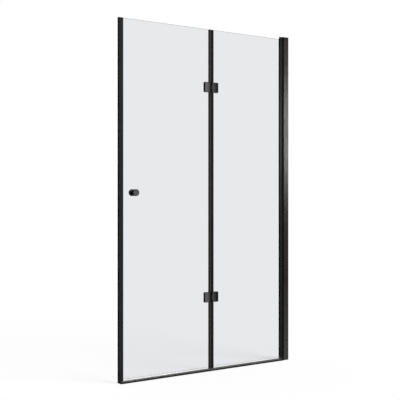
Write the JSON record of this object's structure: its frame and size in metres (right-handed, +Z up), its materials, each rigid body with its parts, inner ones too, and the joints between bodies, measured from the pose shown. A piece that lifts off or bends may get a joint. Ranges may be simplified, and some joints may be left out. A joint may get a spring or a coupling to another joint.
{
  "type": "shower door",
  "caption": "Bi-fold shower door: clear glass panels on plate hinges, pivoting at a black wall profile, with black seals, a round knob and a floor sill.",
  "frame": {"origin": "on the shower tray, halfway between the closing edge and the wall, in the middle of the glass", "axes": "+X from the closing edge to the wall, +Y into the shower, +Z up"},
  "size_m": [1.2, 0.056, 2],
  "materials": {
    "black_coat": "satin black powder coat on extruded aluminium",
    "black_plastic": "black moulded plastic, fine grain",
    "black_fitting": "satin black coat on cast fittings",
    "black_rubber": "black rubber",
    "clear_seal": "clear soft plastic",
    "glass": "clear toughened glass",
    "steel": "stainless steel",
    "nylon": "natural nylon"
  },
  "bodies": {
    "wall_frame": {"wall_profile": "black_coat", "jamb_profile": "black_coat", "top_pivot_block": "black_plastic", "bottom_pivot_block": "black_plastic", "top_bush": "nylon", "bottom_bush": "nylon", "thrust_washer": "nylon", "pivot_block_screws": "steel", "jamb_screws": "steel", "jamb_screw_caps": "black_plastic", "jamb_seal": "black_rubber", "threshold_sill": "black_coat", "sill_end_cap": "black_plastic"},
    "pivot_panel": {"pivot_glass": "glass", "pivot_stile": "black_coat", "stile_gasket": "black_rubber", "stile_top_plug": "black_plastic", "stile_bottom_plug": "black_plastic", "plug_screws": "steel", "pivot_fold_seal": "black_rubber", "pivot_drip_seal": "clear_seal", "upper_pivot_leaf": "black_fitting", "lower_pivot_leaf": "black_fitting", "upper_pivot_back_plate": "black_fitting", "lower_pivot_back_plate": "black_fitting", "upper_hinge_pin": "steel", "lower_hinge_pin": "steel", "pivot_hinge_gaskets": "black_rubber", "pivot_hinge_sleeves": "nylon", "pivot_hinge_screws": "steel"},
    "leading_panel": {"leading_glass": "glass", "closing_profile": "black_coat", "closing_gasket": "black_rubber", "closing_edge_seal": "black_rubber", "closing_top_cap": "black_plastic", "closing_bottom_cap": "black_plastic", "leading_fold_seal": "black_rubber", "leading_drip_seal": "clear_seal", "upper_leading_leaf": "black_fitting", "lower_leading_leaf": "black_fitting", "upper_leading_back_plate": "black_fitting", "lower_leading_back_plate": "black_fitting", "leading_hinge_gaskets": "black_rubber", "leading_hinge_sleeves": "nylon", "leading_hinge_screws": "steel", "knob_outer": "black_fitting", "knob_inner": "black_fitting", "knob_stud": "steel", "knob_washers": "black_rubber", "knob_sleeve": "nylon"}
  },
  "joints": [
    {"name": "panel_pivot", "type": "hinge", "parent": "wall_frame", "child": "pivot_panel", "pos_m": [0.551, 0, 0], "axis": [0, 0, -1], "range_deg": [0, 90]},
    {"name": "panel_fold", "type": "hinge", "parent": "pivot_panel", "child": "leading_panel", "pos_m": [0.018, -0.0085, 0], "axis": [0, 0, 1], "range_deg": [0, 175]}
  ]
}
